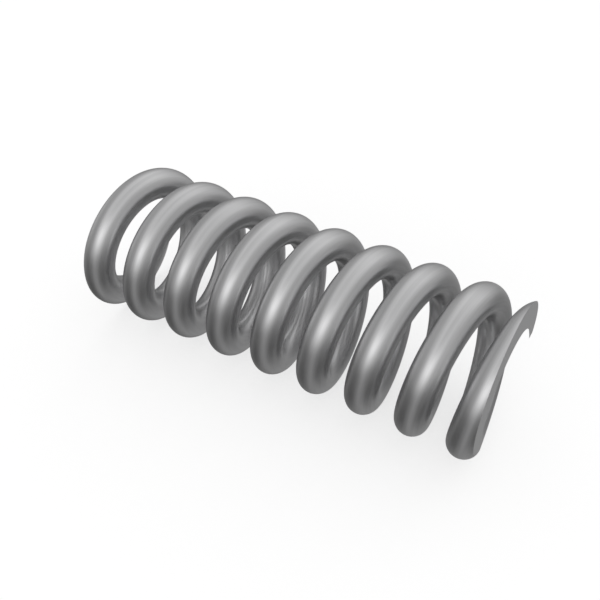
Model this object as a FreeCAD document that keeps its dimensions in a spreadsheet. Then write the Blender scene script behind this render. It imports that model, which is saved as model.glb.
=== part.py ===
import FreeCAD, Part
import math
import os

# A compression spring: round wire wound left hand into an open coil of even pitch, with both
# ends ground flat. It stands on its lower ground end. The coil's axis is +Z, the lower seat is
# z = 0 and the cut at the lower tip of the wire lies on +X. All sizes are in millimetres.

# Driving sizes, each with what it measures.
driving_sizes = [
    ("wire_diameter", 5.0, "thickness of the round wire"),
    ("mean_diameter", 20.2, "diameter of the coil at the middle of the wire"),
    ("pitch", 8.0, "climb of the wire in one turn"),
    ("total_turns", 8.96, "turns of wire from the lower tip to the upper tip"),
    ("tip_thickness", 0.1, "wire left at each tip, where the ground seat runs out"),
]

# Each face of the wound wire covers an eighth of a turn.
turns_per_face = 0.125

# The spring's volume must agree with its section times its length to this share.
volume_tolerance = 0.005


def make_sheet(doc):
    sheet = doc.addObject("Spreadsheet::Sheet", "Sizes")
    for row, (alias, value, meaning) in enumerate(driving_sizes, start=1):
        sheet.set("A%d" % row, str(value))
        sheet.setAlias("A%d" % row, alias)
        sheet.set("B%d" % row, meaning)
    doc.recompute()
    return sheet


def make_wire_path(doc):
    # The centreline of the wire, from the cut at one tip to the cut at the other.
    path = doc.addObject("Part::Helix", "WirePath")
    path.LocalCoord = "Left-handed"
    path.SegmentLength = turns_per_face
    path.setExpression("Radius", "Sizes.mean_diameter / 2")
    path.setExpression("Pitch", "Sizes.pitch")
    path.setExpression("Height", "Sizes.pitch * Sizes.total_turns")
    return path


def make_wire_section(doc):
    # The round section of the wire, square to the path where the path starts. There the path
    # runs towards -Y and climbs by the helix angle.
    section = doc.addObject("Part::Circle", "WireSection")
    section.Placement.Rotation = FreeCAD.Rotation(FreeCAD.Vector(1, 0, 0), 90)
    section.setExpression("Radius", "Sizes.wire_diameter / 2")
    section.setExpression("Placement.Base.x", "WirePath.Radius")
    helix_angle = "atan(WirePath.Pitch / (2 * pi * WirePath.Radius))"
    section.setExpression("Placement.Rotation.Angle", "90 deg - " + helix_angle)
    return section


def make_wound_coil(doc, section, path):
    # The coil before grinding. Its cut end is sunk in the plane of the lower seat until only
    # the thickness of the tip stands above it.
    doc.recompute()
    coil = doc.addObject("Part::Sweep", "WoundCoil")
    coil.Sections = [section]
    coil.Spine = (path, ["Edge%d" % (edge + 1) for edge in range(len(path.Shape.Edges))])
    coil.Solid = True
    coil.Frenet = True
    half_height = "Sizes.wire_diameter / 2 * sin(WireSection.Placement.Rotation.Angle)"
    coil.setExpression("Placement.Base.z", "Sizes.tip_thickness - " + half_height)
    return coil


def make_spring(doc, coil):
    # Grinding leaves what lies between the planes of the two seats, which is as far short of
    # the wound coil at the top as at the bottom. The wire runs out into each plane at the
    # helix angle, so each end has a crescent seat that narrows to a thin tip.
    between_seats = doc.addObject("Part::Cylinder", "BetweenSeats")
    between_seats.setExpression("Radius", "Sizes.mean_diameter")
    between_seats.setExpression("Height", "WirePath.Height + 2 * WoundCoil.Placement.Base.z")
    spring = doc.addObject("Part::Common", "CompressionSpring")
    spring.Label = "compression_spring"
    spring.Base = coil
    spring.Tool = between_seats
    spring.Placement = FreeCAD.Placement()
    return spring


def check_objects(doc):
    for item in doc.Objects:
        if "Invalid" in item.State or "Error" in item.State:
            raise RuntimeError("%s failed: %s" % (item.Name, item.State))


def check_spring(spring, sheet, free_length):
    # Between two planes, a uniform coil holds its section times the length of wire that climbs
    # the same height.
    shape = spring.Shape
    if shape.isNull() or not shape.isValid() or len(shape.Solids) != 1:
        raise RuntimeError("%s is not one valid solid" % spring.Label)
    section_area = math.pi * sheet.wire_diameter ** 2 / 4
    wire_per_turn = math.hypot(math.pi * sheet.mean_diameter, sheet.pitch)
    expected = section_area * wire_per_turn * free_length / sheet.pitch
    print("free length %.3f mm" % free_length)
    print("volume %.1f mm3, expected %.1f mm3" % (shape.Volume, expected))
    if abs(shape.Volume / expected - 1) > volume_tolerance:
        raise RuntimeError("%s has the wrong volume" % spring.Label)


def build():
    doc = FreeCAD.newDocument("CompressionSpring")
    sheet = make_sheet(doc)
    path = make_wire_path(doc)
    section = make_wire_section(doc)
    coil = make_wound_coil(doc, section, path)
    spring = make_spring(doc, coil)
    doc.recompute()
    check_objects(doc)
    check_spring(spring, sheet, doc.getObject("BetweenSeats").Height.Value)
    os.makedirs("parts", exist_ok=True)
    spring.Shape.exportStep("parts/%s.step" % spring.Label)
    print("wrote parts/%s.step" % spring.Label)


build()
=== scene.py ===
from math import cos, radians, sin, tau
import bpy
from mathutils import Matrix, Vector


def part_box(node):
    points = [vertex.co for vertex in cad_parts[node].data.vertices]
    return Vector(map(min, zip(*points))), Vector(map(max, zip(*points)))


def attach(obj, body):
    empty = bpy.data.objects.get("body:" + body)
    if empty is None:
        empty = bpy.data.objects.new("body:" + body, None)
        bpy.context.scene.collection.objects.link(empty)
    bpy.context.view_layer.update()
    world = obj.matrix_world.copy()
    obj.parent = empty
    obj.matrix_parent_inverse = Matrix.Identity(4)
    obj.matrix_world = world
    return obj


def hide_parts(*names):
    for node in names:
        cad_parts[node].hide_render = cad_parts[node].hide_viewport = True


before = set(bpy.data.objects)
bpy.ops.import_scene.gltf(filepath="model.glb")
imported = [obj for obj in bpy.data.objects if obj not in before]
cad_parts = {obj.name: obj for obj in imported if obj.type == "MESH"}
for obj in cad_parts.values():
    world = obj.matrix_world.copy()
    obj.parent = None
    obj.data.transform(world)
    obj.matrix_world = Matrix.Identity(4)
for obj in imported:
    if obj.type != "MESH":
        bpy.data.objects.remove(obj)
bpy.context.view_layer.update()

# A left hand compression spring with ground ends. In the part's frame it stands on its lower
# seat with the coil's axis on +Z. Here it lies on its side, so the floor is an upright plane
# that touches the coil, and upward from the floor is a direction in the XY plane.

lying = {
    "upAngle": 99.56,          # degrees from +X to the direction away from the floor
}
up = Vector((cos(radians(lying["upAngle"])), sin(radians(lying["upAngle"])), 0))
along = Vector((0, 0, 1))      # from the lower seat to the upper one
side = along.cross(up)         # across the spring, towards the camera


def lyingDirection(azimuth, elevation):
    # azimuth is measured on the floor, from the upper seat's end round to the camera's side
    turn, rise = radians(azimuth), radians(elevation)
    return along * (cos(turn) * cos(rise)) + side * (sin(turn) * cos(rise)) + up * sin(rise)


# Shader and geometry node helpers

def addNode(tree, kind, inputs=None, **settings):
    node = tree.nodes.new(kind)
    for name, value in settings.items():
        setattr(node, name, value)
    for name, value in (inputs or {}).items():
        socket = node.inputs[name]
        if isinstance(value, bpy.types.NodeSocket):
            tree.links.new(value, socket)
        else:
            socket.default_value = value
    return node


def addMath(tree, operation, first, second=None):
    inputs = {0: first} if second is None else {0: first, 1: second}
    return addNode(tree, "ShaderNodeMath", inputs, operation=operation).outputs[0]


def addRange(tree, value, fromRange=(0.0, 1.0), toRange=(0.0, 1.0), interpolation="LINEAR"):
    return addNode(tree, "ShaderNodeMapRange", {
        "Value": value, "From Min": fromRange[0], "From Max": fromRange[1],
        "To Min": toRange[0], "To Max": toRange[1]}, interpolation_type=interpolation).outputs[0]


def addColourMix(tree, factor, first, second):
    # the mix node's colours are its inputs 6 and 7 and its output 2
    inputs = {"Factor": factor, 6: first, 7: second}
    return addNode(tree, "ShaderNodeMix", inputs, data_type="RGBA").outputs[2]


def seenDirectly(tree, rays):
    # 1 for what the camera sees itself, also through a clear surface, and 0 for all other rays
    return addMath(tree, "ADD", rays["Is Camera Ray"], rays["Is Transmission Ray"])


def newMaterial(name):
    material = bpy.data.materials.new(name)
    material.use_nodes = True
    tree = material.node_tree
    tree.nodes.clear()
    return material, tree


# Finishes

wireFinish = {
    "dullLine": (0.66, 0.66, 0.665, 1),
    "brightLine": (0.74, 0.74, 0.745, 1),
    "lineRange": (0.3, 0.7),   # noise where a line is at its dullest and at its brightest
    "lineLength": 0.02,        # metres along the wire
    "lineWidth": 0.0005,       # metres round the wire
    "lineDetail": 2.0,         # layers of finer lines
    "roughness": 0.31,
    "edgeTint": (0.70, 0.70, 0.70, 1),
}


def drawnWireMaterial():
    # drawing through a die leaves faint brighter and duller lines along the wire
    material, tree = newMaterial("drawnWire")
    place = addNode(tree, "ShaderNodeAttribute", attribute_name="wireSpace")
    across = 1 / wireFinish["lineWidth"]
    lineScale = (1 / wireFinish["lineLength"], across, across)
    linePlace = addNode(tree, "ShaderNodeMapping", {
        "Vector": place.outputs["Vector"], "Scale": lineScale})
    lines = addNode(tree, "ShaderNodeTexNoise", {
        "Vector": linePlace.outputs[0], "Scale": 1.0, "Detail": wireFinish["lineDetail"]})
    shade = addRange(tree, lines.outputs[0], fromRange=wireFinish["lineRange"])
    colour = addColourMix(tree, shade, wireFinish["dullLine"], wireFinish["brightLine"])
    steel = addNode(tree, "ShaderNodeBsdfPrincipled", {
        "Base Color": colour, "Metallic": 1.0, "Roughness": wireFinish["roughness"],
        "Specular Tint": wireFinish["edgeTint"]})
    addNode(tree, "ShaderNodeOutputMaterial", {"Surface": steel.outputs[0]})
    return material


seatFinish = {
    "colour": (0.53, 0.53, 0.535, 1),
    "roughness": (0.28, 0.36),          # of the smoothest marks and of the roughest
    "wheelCentre": (0.0, -0.15, 0.0),   # the grinding wheel's axis, far to one side
    "markWidth": 0.00012,               # metres
    "markDetail": 2.0,                  # layers of finer marks
    "bump": 0.05,
    "bumpHeight": 0.000004,
}


def groundSeatMaterial():
    # the wheel leaves fine arcs, drawn as rings about its own distant axis
    material, tree = newMaterial("groundSeat")
    place = addNode(tree, "ShaderNodeTexCoord")
    offset = addNode(tree, "ShaderNodeVectorMath", {
        0: place.outputs["Object"], 1: seatFinish["wheelCentre"]}, operation="SUBTRACT")
    flat = addNode(tree, "ShaderNodeVectorMath", {
        0: offset.outputs[0], 1: (1, 1, 0)}, operation="MULTIPLY")
    reach = addNode(tree, "ShaderNodeVectorMath", {0: flat.outputs[0]}, operation="LENGTH")
    rings = addMath(tree, "DIVIDE", reach.outputs["Value"], seatFinish["markWidth"])
    marks = addNode(tree, "ShaderNodeTexNoise", {
        "W": rings, "Scale": 1.0, "Detail": seatFinish["markDetail"]}, noise_dimensions="1D")
    roughness = addRange(tree, marks.outputs[0], toRange=seatFinish["roughness"])
    bump = addNode(tree, "ShaderNodeBump", {
        "Strength": seatFinish["bump"], "Distance": seatFinish["bumpHeight"], "Height": marks.outputs[0]})
    steel = addNode(tree, "ShaderNodeBsdfPrincipled", {
        "Base Color": seatFinish["colour"], "Metallic": 1.0, "Roughness": roughness,
        "Normal": bump.outputs[0]})
    addNode(tree, "ShaderNodeOutputMaterial", {"Surface": steel.outputs[0]})
    return material


# The spring. All of its settings are inputs of the winding tree, with lengths in metres.

springNode = "compression_spring"
low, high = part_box(springNode)
wireRadius = 0.0025
spring = {
    "Wire Radius": wireRadius,
    "Coil Radius": (high.x - low.x) / 2 - wireRadius,
    "Pitch": 0.008,
    "Turns": 8.96,             # from the cut at one tip to the cut at the other
    "Free Length": high.z - low.z,
    "Steps Per Turn": 112,
    "Steps Around": 64,
    "Block Sides": 32,         # round the block that cuts the wire off at both seats
    "Seat Depth": 0.0000005,   # faces this near to the plane of a seat belong to it
}


def springTree(wireMaterial, seatMaterial):
    tree = bpy.data.node_groups.new("springWinding", "GeometryNodeTree")
    for name, value in spring.items():
        kind = "NodeSocketInt" if isinstance(value, int) else "NodeSocketFloat"
        tree.interface.new_socket(name, in_out="INPUT", socket_type=kind)
    tree.interface.new_socket("Geometry", in_out="OUTPUT", socket_type="NodeSocketGeometry")
    given = addNode(tree, "NodeGroupInput").outputs

    # the centreline as wound, sunk as far below the lower seat as it rises above the upper one
    climb = addMath(tree, "MULTIPLY", given["Pitch"], given["Turns"])
    spare = addMath(tree, "SUBTRACT", given["Free Length"], climb)
    start = addMath(tree, "MULTIPLY", spare, 0.5)
    startPlace = addNode(tree, "ShaderNodeCombineXYZ", {"Z": start})
    spiral = addNode(tree, "GeometryNodeCurveSpiral", {
        "Resolution": given["Steps Per Turn"], "Rotations": given["Turns"],
        "Start Radius": given["Coil Radius"], "End Radius": given["Coil Radius"],
        "Height": climb, "Reverse": False})    # clockwise as it climbs, so left hand
    path = addNode(tree, "GeometryNodeSetPosition", {
        "Geometry": spiral.outputs[0], "Offset": startPlace.outputs[0]})
    steady = addNode(tree, "GeometryNodeSetCurveNormal", {"Curve": path.outputs[0]}, mode="Z_UP")
    section = addNode(tree, "GeometryNodeCurvePrimitiveCircle", {
        "Resolution": given["Steps Around"], "Radius": given["Wire Radius"]})
    wire = addNode(tree, "GeometryNodeCurveToMesh", {
        "Curve": steady.outputs[0], "Profile Curve": section.outputs[0], "Fill Caps": True})

    # grinding keeps what lies between the two seats
    half = addMath(tree, "MULTIPLY", given["Free Length"], 0.5)
    middle = addNode(tree, "ShaderNodeCombineXYZ", {"Z": half})
    blockRadius = addMath(tree, "MULTIPLY", given["Coil Radius"], 2.0)
    block = addNode(tree, "GeometryNodeMeshCylinder", {
        "Vertices": given["Block Sides"], "Radius": blockRadius, "Depth": given["Free Length"]})
    between = addNode(tree, "GeometryNodeSetPosition", {
        "Geometry": block.outputs["Mesh"], "Offset": middle.outputs[0]})
    ground = addNode(tree, "GeometryNodeMeshBoolean", operation="INTERSECT", solver="EXACT")
    tree.links.new(wire.outputs[0], ground.inputs["Mesh 2"])
    tree.links.new(between.outputs[0], ground.inputs["Mesh 2"])

    # where each point lies in the wire: its distance along, and its place in the round section
    position = addNode(tree, "GeometryNodeInputPosition").outputs[0]
    across, deep, tall = addNode(tree, "ShaderNodeSeparateXYZ", {0: position}).outputs
    bearing = addMath(tree, "DIVIDE", addMath(tree, "ARCTAN2", deep, across), -tau)
    rise = addMath(tree, "DIVIDE", addMath(tree, "SUBTRACT", tall, start), given["Pitch"])
    wholeTurns = addMath(tree, "ROUND", addMath(tree, "SUBTRACT", rise, bearing))
    turn = addMath(tree, "ADD", wholeTurns, bearing)
    centreHeight = addMath(tree, "ADD", addMath(tree, "MULTIPLY", turn, given["Pitch"]), start)
    reach = addMath(tree, "SQRT", addMath(tree, "ADD", addMath(tree, "MULTIPLY", across, across),
                                          addMath(tree, "MULTIPLY", deep, deep)))
    girth = addMath(tree, "MULTIPLY", given["Coil Radius"], tau)
    wireSpace = addNode(tree, "ShaderNodeCombineXYZ", {
        "X": addMath(tree, "MULTIPLY", turn, girth),
        "Y": addMath(tree, "SUBTRACT", reach, given["Coil Radius"]),
        "Z": addMath(tree, "SUBTRACT", tall, centreHeight)})
    placed = addNode(tree, "GeometryNodeStoreNamedAttribute", {
        "Geometry": ground.outputs["Mesh"], "Name": "wireSpace", "Value": wireSpace.outputs[0]},
        data_type="FLOAT_VECTOR", domain="POINT")

    # the two ground seats are flat and split in triangles, and the rest is smooth
    fromMiddle = addMath(tree, "ABSOLUTE", addMath(tree, "SUBTRACT", tall, half))
    gap = addMath(tree, "SUBTRACT", half, fromMiddle)
    faceGap = addNode(tree, "GeometryNodeFieldOnDomain", {0: gap}, domain="FACE")
    onSeat = addNode(tree, "FunctionNodeCompare", {
        "A": faceGap.outputs[0], "B": given["Seat Depth"]}, operation="LESS_THAN").outputs[0]
    smooth = addNode(tree, "GeometryNodeSetShadeSmooth", {
        "Geometry": placed.outputs[0], "Shade Smooth": True})
    crisp = addNode(tree, "GeometryNodeSetShadeSmooth", {
        "Geometry": smooth.outputs[0], "Selection": onSeat, "Shade Smooth": False})
    split = addNode(tree, "GeometryNodeTriangulate", {"Mesh": crisp.outputs[0], "Selection": onSeat})
    realized = addNode(tree, "GeometryNodeRealizeInstances", {"Geometry": split.outputs[0]})
    drawn = addNode(tree, "GeometryNodeSetMaterial", {
        "Geometry": realized.outputs[0], "Material": wireMaterial})
    seated = addNode(tree, "GeometryNodeSetMaterial", {
        "Geometry": drawn.outputs[0], "Selection": onSeat, "Material": seatMaterial})
    addNode(tree, "NodeGroupOutput", {"Geometry": seated.outputs[0]})
    return tree


def windSpring():
    tree = springTree(drawnWireMaterial(), groundSeatMaterial())
    blank = bpy.data.meshes.new("springCoil")
    coil = bpy.data.objects.new("springCoil", blank)
    bpy.context.scene.collection.objects.link(coil)
    winding = coil.modifiers.new("winding", "NODES")
    winding.node_group = tree
    for item in tree.interface.items_tree:
        if item.in_out == "INPUT":
            winding[item.identifier] = spring[item.name]
    evaluated = coil.evaluated_get(bpy.context.evaluated_depsgraph_get())
    finished = bpy.data.meshes.new_from_object(evaluated)
    coil.modifiers.remove(winding)
    coil.data = finished
    bpy.data.meshes.remove(blank)
    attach(coil, "root")
    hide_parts(springNode)
    print("spring:", len(finished.polygons), "faces,", len(finished.materials), "finishes")


windSpring()

# The floor

floorSettings = {
    "size": 3.0,               # metres along each side
    "colour": (0.55, 0.55, 0.55, 1),
    "whiteToCamera": 0.67,     # white added to the floor's own shade, as seen directly
    "whiteToGloss": 0.05,      # and as seen in the steel
    "clearToGloss": 0.86,      # how far the steel sees past the floor to the dark ground below
}


def floorMaterial():
    # white on its upper side with a soft shadow, and clear from behind for views through it
    material, tree = newMaterial("paleFloor")
    rays = addNode(tree, "ShaderNodeLightPath").outputs
    seen = addMath(tree, "MULTIPLY", seenDirectly(tree, rays), floorSettings["whiteToCamera"])
    mirrored = addMath(tree, "MULTIPLY", rays["Is Glossy Ray"], floorSettings["whiteToGloss"])
    shaded = addNode(tree, "ShaderNodeBsdfDiffuse", {"Color": floorSettings["colour"]})
    white = addNode(tree, "ShaderNodeEmission", {
        "Color": (1, 1, 1, 1), "Strength": addMath(tree, "ADD", seen, mirrored)})
    front = addNode(tree, "ShaderNodeAddShader", {0: shaded.outputs[0], 1: white.outputs[0]})
    clear = addNode(tree, "ShaderNodeBsdfTransparent")
    behind = addNode(tree, "ShaderNodeNewGeometry").outputs["Backfacing"]
    past = addMath(tree, "MULTIPLY", rays["Is Glossy Ray"], floorSettings["clearToGloss"])
    both = addNode(tree, "ShaderNodeMixShader", {
        0: addMath(tree, "MAXIMUM", behind, past), 1: front.outputs[0], 2: clear.outputs[0]})
    addNode(tree, "ShaderNodeOutputMaterial", {"Surface": both.outputs[0]})
    return material


def layFloor():
    reach = floorSettings["size"] / 2
    touch = -up * (spring["Coil Radius"] + spring["Wire Radius"]) + along * spring["Free Length"] / 2
    quarters = ((1, 1), (1, -1), (-1, -1), (-1, 1))    # in this order the floor's face looks up
    corners = [touch + along * ahead * reach + side * aside * reach for ahead, aside in quarters]
    mesh = bpy.data.meshes.new("floor")
    mesh.from_pydata(corners, [], [(0, 1, 2, 3)])
    mesh.materials.append(floorMaterial())
    floor = bpy.data.objects.new("floor", mesh)
    bpy.context.scene.collection.objects.link(floor)
    print("floor laid")


layFloor()

# Light. Heights are sines of the elevation above the floor.

studio = {
    "walls": 0.484,            # brightness of the plain room all round
    # soft strips overhead, across the spring: place along it (sine of the angle), brightness, width
    "strips": [(-0.30, 0.385, 0.31), (0.38, 0.375, 0.31)],
    "stripsLow": 0.25,         # share of the strips left where they reach the floor
    "stripsFull": 0.6,         # height from which they are at full brightness
    # soft glows: azimuth and elevation from the spring, brightness, tightness
    "glows": [(87, 22, 1.00, 15.5), (-88, 38, 0.205, 7.0), (6, -10, 0.29, 10.0), (-172, -12, 0.42, 11.0),
              (-90, -52, 0.24, 4.0), (-100, -28, 0.12, 10.0)],
    # dark cards: azimuth and elevation, darkness, tightness
    "cards": [(142, 8, 0.10, 6.0), (-140, 28, 0.065, 6.0), (149, -54, 0.10, 18.0), (31, -47, 0.12, 18.0)],
    "ground": 0.135,           # the dark below the horizon, which shows only in the steel
    "groundStrip": (0.04, 0.21, 0.27),    # one soft strip across it, given as those overhead are
    "horizon": (-0.35, 0.06),  # heights below which all is ground, and above which all is room
    "backdrop": 1.0,           # the plain white that the camera sees
}


def lightWorld():
    # a plain room with overhead strips, soft lights and dark cards round the spring, and dark
    # ground below the horizon
    world = bpy.data.worlds.new("studio")
    bpy.context.scene.world = world
    world.use_nodes = True
    tree = world.node_tree
    tree.nodes.clear()
    look = addNode(tree, "ShaderNodeTexCoord").outputs["Generated"]

    def towards(direction):
        cosine = addNode(tree, "ShaderNodeVectorMath", {0: look, 1: direction}, operation="DOT_PRODUCT")
        return cosine.outputs["Value"]

    def addStrip(level, place, brightness, width):
        offset = addMath(tree, "DIVIDE", addMath(tree, "SUBTRACT", lengthwise, place), width)
        falloff = addMath(tree, "MULTIPLY", addMath(tree, "MULTIPLY", offset, offset), -1.0)
        strip = addMath(tree, "MULTIPLY", addMath(tree, "EXPONENT", falloff), brightness)
        return addMath(tree, "ADD", strip, level)

    def addGlow(level, azimuth, elevation, brightness, tightness):
        nearness = addMath(tree, "SUBTRACT", towards(lyingDirection(azimuth, elevation)), 1.0)
        falloff = addMath(tree, "EXPONENT", addMath(tree, "MULTIPLY", nearness, tightness))
        return addMath(tree, "ADD", addMath(tree, "MULTIPLY", falloff, brightness), level)

    lengthwise = towards(along)
    height = towards(up)
    strips = 0.0
    for strip in studio["strips"]:
        strips = addStrip(strips, *strip)
    fade = addRange(tree, height, (0.0, studio["stripsFull"]), (studio["stripsLow"], 1.0), "SMOOTHSTEP")
    room = addMath(tree, "ADD", addMath(tree, "MULTIPLY", strips, fade), studio["walls"])
    ground = addStrip(studio["ground"], *studio["groundStrip"])
    aboveGround = addRange(tree, height, studio["horizon"], interpolation="SMOOTHSTEP")
    level = addRange(tree, aboveGround, toRange=(ground, room))
    for glow in studio["glows"]:
        level = addGlow(level, *glow)
    for azimuth, elevation, darkness, tightness in studio["cards"]:
        level = addGlow(level, azimuth, elevation, -darkness, tightness)
    rays = addNode(tree, "ShaderNodeLightPath").outputs
    seen = addRange(tree, seenDirectly(tree, rays), toRange=(level, studio["backdrop"]))
    sky = addNode(tree, "ShaderNodeBackground", {"Strength": seen})
    addNode(tree, "ShaderNodeOutputWorld", {"Surface": sky.outputs[0]})
    print("studio lit:", len(studio["strips"]), "strips,", len(studio["glows"]), "glows,",
          len(studio["cards"]), "dark cards")


lightWorld()

# Camera

view = {
    "azimuth": 59.73,          # degrees on the floor from the spring's axis
    "elevation": 43.0,         # degrees above the floor
    "distance": 0.13005,       # metres from the point it aims at
    "aim": 0.03318,            # that point's place along the axis, in metres from the lower seat
    "lens": 50.0,              # millimetres
    "sensor": 36.0,            # millimetres
    "clip": (0.005, 20.0),     # metres
}


def placeCamera():
    lens = bpy.data.cameras.new("camera")
    lens.lens = view["lens"]
    lens.sensor_width = view["sensor"]
    lens.clip_start, lens.clip_end = view["clip"]
    camera = bpy.data.objects.new("camera", lens)
    back = lyingDirection(view["azimuth"], view["elevation"])
    right = up.cross(back).normalized()
    top = back.cross(right)
    turn = Matrix((right, top, back)).transposed()
    place = Matrix.Translation(along * view["aim"] + back * view["distance"])
    camera.matrix_world = place @ turn.to_4x4()
    bpy.context.scene.collection.objects.link(camera)
    bpy.context.scene.camera = camera
    print("camera placed")


placeCamera()
bpy.context.scene.view_settings.view_transform = "Standard"
